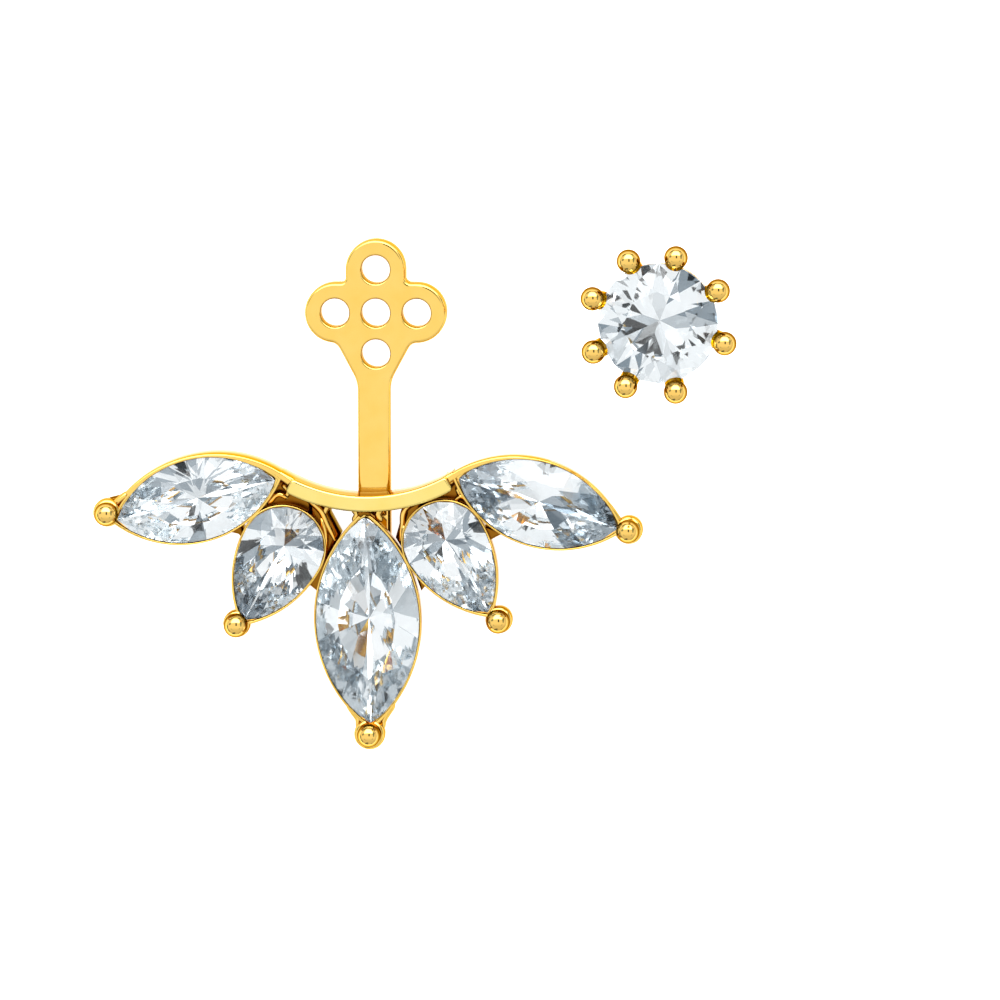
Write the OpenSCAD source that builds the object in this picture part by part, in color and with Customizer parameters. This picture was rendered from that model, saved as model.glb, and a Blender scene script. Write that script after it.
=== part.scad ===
// Ear jacket earring: a five-stone fan that hangs behind the lobe from a
// clover plate with five holes, and the eight-claw stud whose post goes
// through one of the holes. Both lie face up: the jacket on its flat back,
// the stud on the flat end of its ear nut. Millimetres.
// Origin: centre of the clover's middle hole, on the surface that carries it.
// +X right, +Y up along the strap, +Z out of the face.

/* [Clover plate] */
// Thickness of the clover plate and of the strap
plate_t = 1.0; // [0.8:0.1:1.2]
// Radius of the five post holes
hole_r = 0.70; // [0.6:0.05:0.75]
// Distance from the middle hole to the left and right holes
side_hole = 2.00; // [1.9:0.05:2.2]
// Distance from the middle hole up to the top hole
top_hole = 2.13; // [1.9:0.05:2.2]
// Distance from the middle hole down to the bottom hole
bottom_hole = 2.00; // [1.9:0.05:2.2]
// Radius of each lobe round its hole
lobe_r = 1.47; // [1.4:0.01:1.55]
// Radius of the hollow between two lobes
lobe_fillet = 0.25; // [0.15:0.05:0.3]

/* [Strap] */
// Width of the strap
strap_w = 1.58; // [1.3:0.02:1.9]
// Sideways place of the strap's centre line
strap_x = -0.10; // [-0.2:0.05:0.2]
// Width of the plate where it starts to narrow, below the side lobes
shoulder_w = 3.78; // [3.4:0.02:3.9]
// Height at which the narrowing starts
shoulder_y = -1.37; // [-1.45:0.01:-1.2]
// Height at which the strap reaches its own width
neck_y = -3.40; // [-3.8:0.05:-3.2]
// Height of the strap's lower end, behind the centre cup
strap_end = -11.6; // [-12:0.1:-11]

/* [Collar] */
// Radius of the collar's upper face
collar_r = 8.02; // [7.9:0.01:8.2]
// Sideways place of the collar's centre
collar_x = -0.36; // [-0.45:0.01:-0.25]
// Height of the collar's centre
collar_y = -0.76; // [-0.85:0.01:-0.65]
// Width of the collar's flat front face
collar_w = 0.78; // [0.6:0.02:0.8]
// How far the front bar's lower edge stands out from the wall behind it
collar_lip = 0.10; // [0.05:0.01:0.15]
// Height of the front bar's back
collar_bar_z = 2.35; // [2.2:0.05:2.5]
// How far the collar's front stands above the back
collar_front = 3.00; // [2.9:0.05:3.2]
// Where the back edge of the collar lies
collar_back = 0.60; // [0.4:0.05:0.8]
// Turn from straight down to the left end of the front face
collar_left = 26.9; // [25:0.1:28]
// Turn from straight down to the right end of the front face
collar_right = 29.0; // [27:0.1:30]
// Turn at which the collar's curve changes into a wing's curve
wing_turn = 31.3; // [31:0.1:32]
// Radius of the left wing's upper rim
left_wing_r = 6.11; // [6.1:0.01:6.2]
// Radius of the right wing's upper rim
right_wing_r = 5.78; // [5.7:0.01:5.85]
// Where the back edge of the left wing's upper rim lies
left_wing_back = 0.75; // [0.6:0.05:1.2]
// Where the back edge of the right wing's upper rim lies
right_wing_back = 1.50; // [0.6:0.05:1.8]
// Thickness of the upper rims
rim_w = 0.34; // [0.25:0.01:0.4]

/* [Cups] */
// Metal beside the stones
cup_wall = 0.11; // [0.1:0.01:0.2]
// How much further the metal reaches past a stone's tip
cup_tip = 0.22; // [0.15:0.01:0.4]
// Height of the cups' rims above the back
rim_z = 2.62; // [2.58:0.01:2.7]
// Height below which the cups narrow towards the back
waist_z = 1.80; // [1.6:0.05:2.1]
// How much the cups narrow down to the back
back_inset = 0.60; // [0.3:0.05:0.7]
// Clearance round each stone
stone_gap = 0.03; // [0.02:0.01:0.04]
// Height of the seat that the stones rest over
seat_z = 2.20; // [2.1:0.02:2.22]
// How far the seat reaches in under the stone
seat_w = 0.16; // [0.1:0.01:0.18]
// Thickness of the closed backs
floor_t = 0.40; // [0.3:0.05:0.45]

/* [Stones] */
// Height of the widest line of the five stones
girdle_z = 2.50; // [2.45:0.01:2.55]
// How much of a stone's tips is cut blunt
tip_cut = 0.12; // [0.05:0.01:0.2]
// Thickness of a stone's edge
girdle_t = 0.12; // [0.08:0.02:0.16]
// Width of the flat table against the whole stone
table_k = 0.56; // [0.45:0.01:0.65]
// Where the small facets meet between edge and table
star_k = 0.58; // [0.5:0.01:0.65]
// Where the lower small facets meet between edge and point
half_k = 0.72; // [0.6:0.01:0.8]

/* [Stud] */
// Sideways place of the stud
stud_x = 14.49; // [14:0.01:16]
// Height of the stud beside the clover
stud_y = 0.78; // [0:0.01:2]
// Radius of the round stone
stud_stone_r = 2.92; // [2.8:0.01:3.1]
// Height of the round stone's widest line
stud_girdle_z = 12.20; // [11.5:0.1:12.6]
// Radius of the ring on which the claw balls stand
claw_ring_r = 3.38; // [3.36:0.01:3.5]
// Radius of the claw balls
claw_ball_r = 0.58; // [0.5:0.01:0.6]
// Radius of the claws at their feet
claw_wire_r = 0.36; // [0.3:0.01:0.37]
// Radius of the claws under their balls
claw_neck_r = 0.50; // [0.36:0.01:0.52]
// Radius of the plate under the claws
base_r = 1.30; // [1.2:0.05:1.5]
// Radius of the post
post_r = 0.45; // [0.4:0.01:0.5]

/* [Ear nut] */
// Radius of the nut's barrel
nut_r = 1.45; // [1.4:0.05:1.5]
// Radius of the nut's front collar
nut_collar_r = 1.80; // [1.7:0.05:1.9]
// Height of the nut
nut_h = 3.60; // [3.2:0.1:4]
// Clearance between the post and the nut's bore
post_gap = 0.03; // [0.02:0.01:0.05]

/* [Hidden] */
$fn = 96;
gold = "gold";
crystal = "aliceblue";
over = 1;
down = -90;

// Marquise stones: centre x, y, turn of the long axis from +Y, half length, half width, mains
CENTRE = [-0.33, -14.92, 1.6, 5.17, 2.52, 12];
LEFT_WING = [-8.71, -9.05, -75.6, 4.10, 2.00, 10];
RIGHT_WING = [8.03, -9.15, 72.8, 4.18, 2.03, 10];
// Pear stones: centre of the round end x, y, turn of the tip from -Y, radius, tip distance, mains
LEFT_PEAR = [-4.47, -11.38, -28.0, 2.01, 4.14, 10];
RIGHT_PEAR = [3.43, -11.07, 32.1, 2.00, 4.14, 10];
// Depths of the crown and of the pavilion: centre, wings and pears, round stone
CENTRE_DEPTHS = [0.80, 1.85];
SIDE_DEPTHS = [0.68, 1.60];
ROUND_DEPTHS = [0.95, 2.45];
ROUND_MAINS = 8;
// Balls over the stones' tips: x, y, radius, radius of the post under the ball
BALLS = [[-0.26, -20.53, 0.58, 0.76], [-13.08, -9.70, 0.59, 0.69], [12.45, -10.43, 0.58, 0.69],
         [-6.75, -15.13, 0.60, 0.67], [6.09, -14.88, 0.60, 0.67]];
ball_z = girdle_z + 0.60;
ball_post_z = rim_z + 0.04;
ball_seam = 35;
ball_foot_z = 0.35;
ball_foot_k = 0.55;
// Turns of the eight claws from +X, seen from the front
CLAWS = [29.4, 74.4, 114.3, 158.3, 203.3, 242.8, 285.0, 344.5];

collar_c = [collar_x, collar_y];
rim_step = 0.02;
waist_lap = 0.06;
wing_meet_r = 8.065;
wing_lap = 6;
left_wing_span = 84;
right_wing_span = 88;
LEFT = -1;
RIGHT = 1;
// Webs between the collar's ends, the wings' inner tips and the pears
web_z = 1.5;
strut_z = 2.25;
LEFT_WEB = [[-5.9, -7.55], [-4.6, -8.0], [-3.7, -8.45], [-2.9, -9.1], [-3.1, -10.1],
            [-4.6, -9.9], [-6.3, -9.8]];
RIGHT_WEB = [[5.2, -7.5], [3.9, -8.0], [3.0, -8.6], [2.2, -9.0], [2.25, -9.8], [3.4, -9.6],
             [4.6, -9.7], [5.7, -9.8]];
// Struts under the collar and gussets where two cups meet: points from left to right
LEFT_STRUT = [[-3.3, -8.9], [-2.21, -9.2], [-2.2, -9.75], [-1.67, -10.75], [-2.35, -12.3],
              [-3.0, -12.1], [-3.2, -10.2]];
RIGHT_STRUT = [[2.5, -8.7], [1.3, -9.2], [1.34, -9.69], [0.99, -10.95], [1.8, -12.3],
               [2.35, -12.1], [2.3, -9.9]];
LEFT_CENTRE_GUSSET = [[-2.5, -11.9], [-2.2, -11.9], [-2.72, -13.62], [-3.25, -13.2]];
RIGHT_CENTRE_GUSSET = [[1.7, -11.9], [2.1, -11.9], [2.6, -13.1], [2.28, -13.5]];
LEFT_WING_GUSSET = [[-6.5, -10.3], [-6.2, -11.3], [-6.66, -10.75], [-7.2, -10.62]];
RIGHT_WING_GUSSET = [[5.4, -10.3], [5.3, -11.2], [5.92, -10.85], [6.4, -10.6]];
// Shoulders between the upper rims' outer ends and the posts
shoulder_back = 1.6;
LEFT_SHOULDER = [[-12.15, -8.80], [-13.2, -9.07], [-13.1, -9.7], [-12.4, -9.5]];
RIGHT_SHOULDER = [[12.0, -9.62], [12.72, -9.82], [12.45, -10.4], [11.9, -10.1]];

// Stud heights
gallery_z = stud_girdle_z - 0.86;
base_t = 0.6;
base_z = stud_girdle_z - ROUND_DEPTHS[1] - 0.35 - base_t;
claw_ball_z = stud_girdle_z + 0.5 * girdle_t + 0.52;
claw_foot_r = 1.15;
gallery_r = 2.55;
gallery_wire = 0.30;
// Half section of the room that the claws leave for the round stone
room_r = stud_stone_r + stone_gap;
room_edge = 0.5 * girdle_t + stone_gap;
ROUND_ROOM = [[0, -room_edge - ROUND_DEPTHS[1]],
              [1.1 * (1 - half_k) * room_r, -room_edge - half_k * ROUND_DEPTHS[1]],
              [room_r, -room_edge], [room_r, room_edge],
              [1.1 * (1 - (1 - table_k) * star_k) * room_r, room_edge + star_k * ROUND_DEPTHS[0]],
              [table_k * room_r, room_edge + ROUND_DEPTHS[0]], [0, room_edge + ROUND_DEPTHS[0]]];
post_tip_z = 0.80;
nut_foot_r = 1.25;
nut_chamfer = 0.25;
nut_collar_t = 0.60;
nut_waist_r = 1.15;
nut_waist_z = 2.55;

// Radius of the two arcs that enclose a marquise or the lower half of a pear
function arc_radius(a, b) = (a * a + b * b) / (2 * b);

// Point and outward normal on the edge of a marquise, step k of 2 * n from the upper tip clockwise
function marquise_turn(a, b, n, k) = asin(a / arc_radius(a, b)) * (1 - 2 * (k % n) / n);
function marquise_side(n, k) = (k % (2 * n)) < n ? 1 : -1;
function marquise_point(a, b, n, k) =
    let (r = arc_radius(a, b), s = marquise_side(n, k), t = marquise_turn(a, b, n, k))
    [s * (b - r + r * cos(t)), s * r * sin(t)];
function marquise_normal(a, b, n, k) =
    let (s = marquise_side(n, k), t = marquise_turn(a, b, n, k))
    k % n == 0 ? [0, s] : [s * cos(t), s * sin(t)];
// Edge points with the tips cut blunt
function marquise_edge(a, b, n, k) =
    k % n == 0 ? [0, marquise_side(n, k) * (a - tip_cut)] : marquise_point(a, b, n, k);

// The same for a pear, from the tip anticlockwise; the round end holds the middle steps
function pear_turn(r, tip, n, k, m) =
    k <= m ? -asin(tip / arc_radius(tip, r)) * (1 - k / m) : 90 * (k - m) / (n - m);
function pear_half(r, tip, n, k, m) =
    let (big = arc_radius(tip, r), t = pear_turn(r, tip, n, k, m))
    k <= m ? [r - big + big * cos(t), big * sin(t)] : [r * cos(t), r * sin(t)];
function pear_point(r, tip, n, k) =
    let (m = 0.6 * n, p = pear_half(r, tip, n, k <= n ? k : 2 * n - k, m))
    k % (2 * n) == 0 ? [0, tip_cut - tip] : k <= n ? p : [-p[0], p[1]];
function pear_normal(r, tip, n, k) =
    let (m = 0.6 * n, t = pear_turn(r, tip, n, k <= n ? k : 2 * n - k, m))
    k % (2 * n) == 0 ? [0, -1] : [(k <= n ? 1 : -1) * cos(t), sin(t)];

// Where the lines that touch the edge at p and q, with normals u and v, cross
function tangent_meet(p, u, q, v) =
    let (det = u[0] * v[1] - u[1] * v[0])
    [((p * u) * v[1] - (q * v) * u[1]) / det, ((q * v) * u[0] - (p * u) * v[0]) / det];

// Height of the plane through a, b and c at the point p
function plane_z(a, b, c, p) =
    let (n = cross(b - a, c - a))
    a[2] - (n[0] * (p[0] - a[0]) + n[1] * (p[1] - a[1])) / n[2];

// Brilliant cut: edge points and normals anticlockwise at half steps, n mains, crown and pavilion.
// Each small facet ends in an arc on the edge, kept by one more point on its middle.
module brilliant(edge, normals, n, crown, pavilion) {
    steps = 2 * n;
    top = 0.5 * girdle_t;
    mains = [for (j = [0 : n - 1]) edge[4 * j]];
    meets = [for (j = [0 : n - 1]) let (i = 4 * j, q = (4 * j + 4) % (4 * n))
        tangent_meet(edge[i], normals[i], edge[q], normals[q])];
    table = [for (p = mains) [table_k * p[0], table_k * p[1], top + crown]];
    star_xy = 1 - (1 - table_k) * star_k;
    stars = [for (p = meets) [star_xy * p[0], star_xy * p[1], top + star_k * crown]];
    half_xy = 1 - half_k;
    halves = [for (p = meets) [half_xy * p[0], half_xy * p[1], -top - half_k * pavilion]];
    upper = [for (i = [0 : 2 * steps - 1]) let (j = floor(i / 4), e = i - i % 2, f = (e + 2) % (2 * steps),
        p = edge[i], a = [edge[e][0], edge[e][1], top], b = [edge[f][0], edge[f][1], top])
        [p[0], p[1], i % 2 == 0 ? top : plane_z(stars[j], a, b, p)]];
    lower = [for (i = [0 : 2 * steps - 1]) let (j = floor(i / 4), e = i - i % 2, f = (e + 2) % (2 * steps),
        p = edge[i], a = [edge[e][0], edge[e][1], -top], b = [edge[f][0], edge[f][1], -top])
        [p[0], p[1], i % 2 == 0 ? -top : plane_z(halves[j], a, b, p)]];
    culet = [[0, 0, -top - pavilion]];
    star0 = n;
    upper0 = 2 * n;
    lower0 = upper0 + 2 * steps;
    half0 = lower0 + 2 * steps;
    culet0 = half0 + n;
    ring = 2 * steps;
    faces = concat(
        [[for (j = [0 : n - 1]) j]],
        [for (j = [0 : n - 1]) [(j + 1) % n, j, star0 + j]],
        [for (j = [0 : n - 1]) [j, star0 + (j + n - 1) % n, upper0 + 4 * j, star0 + j]],
        [for (j = [0 : n - 1], h = [0, 2]) [star0 + j, upper0 + 4 * j + h, upper0 + 4 * j + h + 1,
            upper0 + (4 * j + h + 2) % ring]],
        [for (i = [0 : ring - 1]) [upper0 + i, lower0 + i, lower0 + (i + 1) % ring, upper0 + (i + 1) % ring]],
        [for (j = [0 : n - 1], h = [0, 2]) [half0 + j, lower0 + (4 * j + h + 2) % ring,
            lower0 + 4 * j + h + 1, lower0 + 4 * j + h]],
        [for (j = [0 : n - 1]) [culet0, half0 + j, lower0 + 4 * j, half0 + (j + n - 1) % n]]);
    polyhedron(concat(table, stars, upper, lower, halves, culet),
               [for (f = faces) [for (i = [len(f) - 1 : -1 : 0]) f[i]]]);
}

module marquise_stone(s, depths) {
    n = s[5];
    steps = [for (k = [0 : 4 * n - 1]) (4 * n - k) % (4 * n)];
    translate([s[0], s[1], girdle_z]) rotate([0, 0, s[2]])
        brilliant([for (k = steps) marquise_edge(s[3], s[4], 2 * n, k)],
                  [for (k = steps) marquise_normal(s[3], s[4], 2 * n, k)], n, depths[0], depths[1]);
}

module pear_stone(s, depths) {
    n = s[5];
    translate([s[0], s[1], girdle_z]) rotate([0, 0, s[2]])
        brilliant([for (k = [0 : 4 * n - 1]) pear_point(s[3], s[4], 2 * n, k)],
                  [for (k = [0 : 4 * n - 1]) pear_normal(s[3], s[4], 2 * n, k)], n, depths[0], depths[1]);
}

module round_stone() {
    n = ROUND_MAINS;
    turns = [for (k = [0 : 4 * n - 1]) 90 * k / n];
    translate([stud_x, stud_y, stud_girdle_z])
        brilliant([for (t = turns) stud_stone_r * [cos(t), sin(t)]],
                  [for (t = turns) [cos(t), sin(t)]], n, ROUND_DEPTHS[0], ROUND_DEPTHS[1]);
}

// Outline of a cup: the stone's, with a thin wall that thickens towards each tip
function marquise_outside(s) = [s[0], s[1], s[2], s[3] + cup_tip, s[4] + cup_wall];
function pear_outside(s) = [s[0], s[1], s[2], s[3] + cup_wall, s[4] + cup_tip];

// Marquise outline, grown by g0 at height z0 and by g1 at height z1
module marquise_body(s, z0, z1, g0, g1) {
    r = arc_radius(s[3], s[4]);
    translate([s[0], s[1], z0]) rotate([0, 0, s[2]]) intersection() {
        translate([s[4] - r, 0, 0]) cylinder(h = z1 - z0, r1 = r + g0, r2 = r + g1);
        translate([r - s[4], 0, 0]) cylinder(h = z1 - z0, r1 = r + g0, r2 = r + g1);
    }
}

// Pear outline, grown in the same way: the tip's two arcs below, the round end above
module pear_body(s, z0, z1, g0, g1) {
    r = arc_radius(s[4], s[3]);
    wide = 2 * r;
    translate([s[0], s[1], z0]) rotate([0, 0, s[2]]) {
        intersection() {
            translate([s[3] - r, 0, 0]) cylinder(h = z1 - z0, r1 = r + g0, r2 = r + g1);
            translate([r - s[3], 0, 0]) cylinder(h = z1 - z0, r1 = r + g0, r2 = r + g1);
            translate([-wide, -2 * wide, -over]) cube([2 * wide, 2 * wide, z1 - z0 + 2 * over]);
        }
        intersection() {
            cylinder(h = z1 - z0, r1 = s[3] + g0, r2 = s[3] + g1);
            translate([-wide, 0, -over]) cube([2 * wide, 2 * wide, z1 - z0 + 2 * over]);
        }
    }
}

// Outside of a cup: straight wall above the waist, then a fine step, then narrower towards the back
module marquise_cup(s) {
    marquise_body(marquise_outside(s), 0, waist_z + waist_lap, -back_inset, -rim_step);
    marquise_body(marquise_outside(s), waist_z, rim_z, 0, 0);
}

module pear_cup(s) {
    pear_body(pear_outside(s), 0, waist_z + waist_lap, -back_inset, -rim_step);
    pear_body(pear_outside(s), waist_z, rim_z, 0, 0);
}

// Room for a stone: straight down to the seat, then a sloping well over the closed back
module marquise_room(s, well) {
    marquise_body(s, seat_z, rim_z + over, stone_gap, stone_gap);
    marquise_body(s, floor_t, seat_z + waist_lap, -well, -seat_w);
}

module pear_room(s, well) {
    pear_body(s, seat_z, rim_z + over, stone_gap, stone_gap);
    pear_body(s, floor_t, seat_z + waist_lap, -well, -seat_w);
}

// Upright curved wall between two turns about a centre
module curved_wall(c, r_in, r_out, z0, z1, from, to) {
    translate([c[0], c[1], z0]) rotate([0, 0, from])
        rotate_extrude(angle = to - from) translate([r_in, 0]) square([r_out - r_in, z1 - z0]);
}

// Centre of a wing's upper rim, whose curve runs on from the collar's and meets it at wing_meet_r
function wing_centre(side, r) =
    collar_c + (wing_meet_r + r) * [side * sin(wing_turn), -cos(wing_turn)];

// Upper rim of a wing, from a little inside the collar to the ball at its outer end
module wing_rim(side, r, span, back) {
    translate(wing_centre(side, r)) mirror([side > 0 ? 0 : 1, 0, 0])
        curved_wall([0, 0], r - rim_w, r, back, rim_z,
                    90 + wing_turn + wing_lap - span, 90 + wing_turn + wing_lap);
}

// Front bar on the wall that carries it, and the thin wall that leads on to the wings
module collar() {
    bar_r = collar_r + collar_w;
    wall_r = bar_r - collar_lip;
    translate([collar_c[0], collar_c[1], 0]) rotate([0, 0, down - collar_left])
        rotate_extrude(angle = collar_left + collar_right)
            polygon([[collar_r, collar_back], [wall_r, collar_back], [wall_r, collar_bar_z],
                     [bar_r, collar_bar_z], [bar_r, collar_front], [collar_r, collar_front]]);
    curved_wall(collar_c, collar_r + rim_step, collar_r + rim_w, collar_back, rim_z,
                down - wing_turn, down + wing_turn);
}

module slab(points, z0, z1) {
    translate([0, 0, z0]) linear_extrude(z1 - z0) polygon(points);
}

// Plate outline: four lobes round a square middle, then the narrowing down to the strap
module clover_plate() {
    linear_extrude(plate_t) {
        difference() {
            union() {
                for (x = [-side_hole, side_hole]) translate([x, 0]) circle(lobe_r);
                translate([0, top_hole]) circle(lobe_r);
                translate([-lobe_r, -lobe_r]) square([2 * lobe_r, lobe_r + top_hole]);
                translate([-side_hole, -lobe_r]) square([2 * side_hole, 2 * lobe_r]);
                polygon([[strap_x - 0.5 * shoulder_w, shoulder_y], [strap_x - 0.5 * strap_w, neck_y],
                         [strap_x + 0.5 * strap_w, neck_y], [strap_x + 0.5 * shoulder_w, shoulder_y]]);
                translate([strap_x - 0.5 * strap_w, strap_end]) square([strap_w, neck_y - strap_end]);
                for (s = [LEFT, RIGHT]) translate([s * lobe_r - (s > 0 ? 0 : lobe_fillet), lobe_r])
                    square(lobe_fillet);
            }
            for (s = [LEFT, RIGHT]) translate([s * (lobe_r + lobe_fillet), lobe_r + lobe_fillet])
                circle(lobe_fillet);
        }
    }
}

// Round post beside the cup's tip, which narrows to the back
module ball_post(b) {
    translate([b[0], b[1], ball_foot_z]) cylinder(h = waist_z - ball_foot_z, r1 = ball_foot_k * b[3], r2 = b[3]);
    translate([b[0], b[1], waist_z]) cylinder(h = ball_post_z - waist_z, r = b[3]);
}

// Ball that stands on the post and reaches over the stone's tip
module ball(b) {
    translate([b[0], b[1], ball_z]) rotate([0, 0, ball_seam]) sphere(b[2]);
}

module jacket_metal() difference() {
    union() {
        clover_plate();
        collar();
        wing_rim(LEFT, left_wing_r, left_wing_span, left_wing_back);
        wing_rim(RIGHT, right_wing_r, right_wing_span, right_wing_back);
        marquise_cup(CENTRE);
        marquise_cup(LEFT_WING);
        marquise_cup(RIGHT_WING);
        pear_cup(LEFT_PEAR);
        pear_cup(RIGHT_PEAR);
        for (b = BALLS) ball_post(b);
        slab(LEFT_WEB, collar_back, web_z);
        slab(RIGHT_WEB, collar_back, web_z);
        slab(LEFT_STRUT, collar_back, strut_z);
        slab(RIGHT_STRUT, collar_back, strut_z);
        for (g = [LEFT_CENTRE_GUSSET, RIGHT_CENTRE_GUSSET, LEFT_WING_GUSSET, RIGHT_WING_GUSSET])
            slab(g, collar_back, strut_z);
        for (g = [LEFT_SHOULDER, RIGHT_SHOULDER]) slab(g, shoulder_back, strut_z);
    }
    marquise_room(CENTRE, 1.9);
    marquise_room(LEFT_WING, 1.5);
    marquise_room(RIGHT_WING, 1.5);
    pear_room(LEFT_PEAR, 1.5);
    pear_room(RIGHT_PEAR, 1.5);
    for (p = [[0, 0], [side_hole, 0], [-side_hole, 0], [0, top_hole], [0, -bottom_hole]])
        translate([p[0], p[1], -over]) cylinder(h = plate_t + 2 * over, r = hole_r);
}

module jacket_frame() color(gold) union() {
    jacket_metal();
    for (b = BALLS) ball(b);
}

module centre_marquise() color(crystal) marquise_stone(CENTRE, CENTRE_DEPTHS);
module left_wing_marquise() color(crystal) marquise_stone(LEFT_WING, SIDE_DEPTHS);
module right_wing_marquise() color(crystal) marquise_stone(RIGHT_WING, SIDE_DEPTHS);
module left_pear() color(crystal) pear_stone(LEFT_PEAR, SIDE_DEPTHS);
module right_pear() color(crystal) pear_stone(RIGHT_PEAR, SIDE_DEPTHS);
module stud_stone() color(crystal) round_stone();

// One claw: it leans out from the base, thickens upwards and has a ball over the stone's edge
module claw(turn) {
    rise = claw_ball_z - base_z;
    lean = atan((claw_ring_r - claw_foot_r) / rise);
    rotate([0, 0, turn]) {
        translate([claw_foot_r, 0, base_z]) rotate([0, lean, 0])
            cylinder(h = rise / cos(lean), r1 = claw_wire_r, r2 = claw_neck_r);
        translate([claw_ring_r, 0, claw_ball_z]) sphere(claw_ball_r);
    }
}

// Claws, the gallery ring under the stone, the base and the post, soldered
module stud_setting() color(gold) translate([stud_x, stud_y, 0]) difference() {
    union() {
        for (t = CLAWS) claw(t);
        translate([0, 0, gallery_z]) rotate_extrude() translate([gallery_r, 0]) circle(gallery_wire);
        translate([0, 0, base_z - 0.5 * base_t]) cylinder(h = 1.5 * base_t, r = base_r);
        translate([0, 0, post_tip_z]) cylinder(h = base_z - post_tip_z, r = post_r);
    }
    translate([0, 0, stud_girdle_z]) rotate_extrude() polygon(ROUND_ROOM);
}

// Closed barrel with a flat end to stand on and a wider front
module ear_nut() color(gold) translate([stud_x, stud_y, 0]) difference() {
    rotate_extrude() polygon([[0, 0], [nut_foot_r, 0], [nut_r, nut_chamfer], [nut_r, nut_waist_z - nut_chamfer],
        [nut_waist_r, nut_waist_z], [nut_waist_r, nut_h - nut_collar_t],
        [nut_collar_r, nut_h - nut_collar_t + nut_chamfer], [nut_collar_r, nut_h], [0, nut_h]]);
    translate([0, 0, post_tip_z - post_gap]) cylinder(h = nut_h, r = post_r + post_gap);
}

jacket_frame();
centre_marquise();
left_wing_marquise();
right_wing_marquise();
left_pear();
right_pear();
stud_setting();
stud_stone();
ear_nut();
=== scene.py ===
from collections import namedtuple
from math import acos, cos, degrees, pi, radians, sin, sqrt

import bmesh
import bpy
from mathutils import Matrix, Vector


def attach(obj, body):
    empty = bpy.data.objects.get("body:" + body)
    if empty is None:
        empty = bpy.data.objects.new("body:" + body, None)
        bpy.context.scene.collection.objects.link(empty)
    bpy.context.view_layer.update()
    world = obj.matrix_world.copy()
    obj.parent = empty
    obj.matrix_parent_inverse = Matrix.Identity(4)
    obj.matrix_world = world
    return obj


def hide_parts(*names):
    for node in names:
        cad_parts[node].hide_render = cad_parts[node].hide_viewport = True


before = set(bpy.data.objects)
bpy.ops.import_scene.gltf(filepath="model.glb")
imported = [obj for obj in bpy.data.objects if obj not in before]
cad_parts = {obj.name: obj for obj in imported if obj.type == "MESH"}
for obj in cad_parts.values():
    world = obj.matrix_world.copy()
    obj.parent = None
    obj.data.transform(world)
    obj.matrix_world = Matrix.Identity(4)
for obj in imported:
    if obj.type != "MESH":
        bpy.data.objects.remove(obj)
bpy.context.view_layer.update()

MM = 0.001

# Sizes are in millimetres and turns in degrees, as in the part's solids

# Clover plate and strap
PLATE_T = 1.0
PLATE_EDGE = 0.17  # rounding of the outline's front edge
HOLE_R = 0.70
HOLE_EDGE = 0.102  # rounding of the holes' front edges
BACK_EDGE_PART = 0.3  # bevel of the back edges, as a part of the front ones
HOLES = [(0, 0), (2.0, 0), (-2.0, 0), (0, 2.13), (0, -2.0)]
LOBE_R = 1.47
LOBE_FILLET = 0.25  # in the corner between two lobes
LOBE_BEND = 12  # turn over which the neck runs into a side lobe
STRAP_X = -0.10
STRAP_W = 1.58
STRAP_END = -11.6
NECK_Y = -3.40
NECK_BEND = 0.45
SHOULDER_W = 3.78
SHOULDER_Y = -1.37
CORNER_BEND = 0.35

# Collar: a bar that stands out from the wall behind it, and a thin wall on to the wings
COLLAR_C = (-0.36, -0.76)
COLLAR_R = 8.02
COLLAR_W = 0.78
COLLAR_LIP = 0.10  # how far the bar stands out from the wall behind it
COLLAR_FRONT = 3.00
COLLAR_BACK = 0.60
COLLAR_BAR_Z = 2.35  # back of the bar
COLLAR_ENDS = (26.9, 29.0)  # turns of its left and right ends from straight down
COLLAR_EDGE = 0.13  # rounding of the bar's front edge
COLLAR_CORNER = 0.24  # rounding of its ends, seen from the front
COLLAR_BEVEL = 0.05  # of its back edge
WALL_STEP = 0.01  # how far the wall's upper side lies below the bar's
WALL_SHORT = 0.3  # turn by which the wall ends before the bar
WALL_EDGE = 0.05
BACK_WALL_STEP = 0.02  # the same for the thin wall, and below the rims
BACK_WALL_EDGE = 0.08

# Raised rims on the upper sides of the wings: side, radius, height of the lower edge, span
WINGS = {"left_wing": (-1, 6.11, 0.75, 84), "right_wing": (1, 5.78, 1.50, 88)}
WING_TURN = 31.3  # of the wings' rims from straight down, seen from the collar's centre
WING_MEET_R = 8.065  # where the rims leave the collar
WING_LAP = 6  # turn by which they overlap it
RIM_W = 0.34
RIM_EDGE = 0.09

# Cups
CUP_WALL = 0.11
CUP_TIP = 0.22  # metal beyond a stone's tip
CUP_FOOT_Z = 0.05
CUP_FOOT_STEP = 0.02
BACK_INSET = 0.60  # how far a cup's back is drawn in
WAIST_Z = 1.80  # where its wall turns upright
RIM_Z = 2.62
STONE_GAP = 0.03
SEAT_Z = 2.20
SEAT_W = 0.16
FLOOR_T = 0.40  # closed back
GIRDLE_Z = 2.50
FOIL_EDGE = 0.05  # height of the foil over the girdle
# Room of a stone: height, growth of the stone's outline
STONE_ROOM = [(1.1, -0.18), (2.0, 0.025), (4.5, 0.025)]

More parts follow.
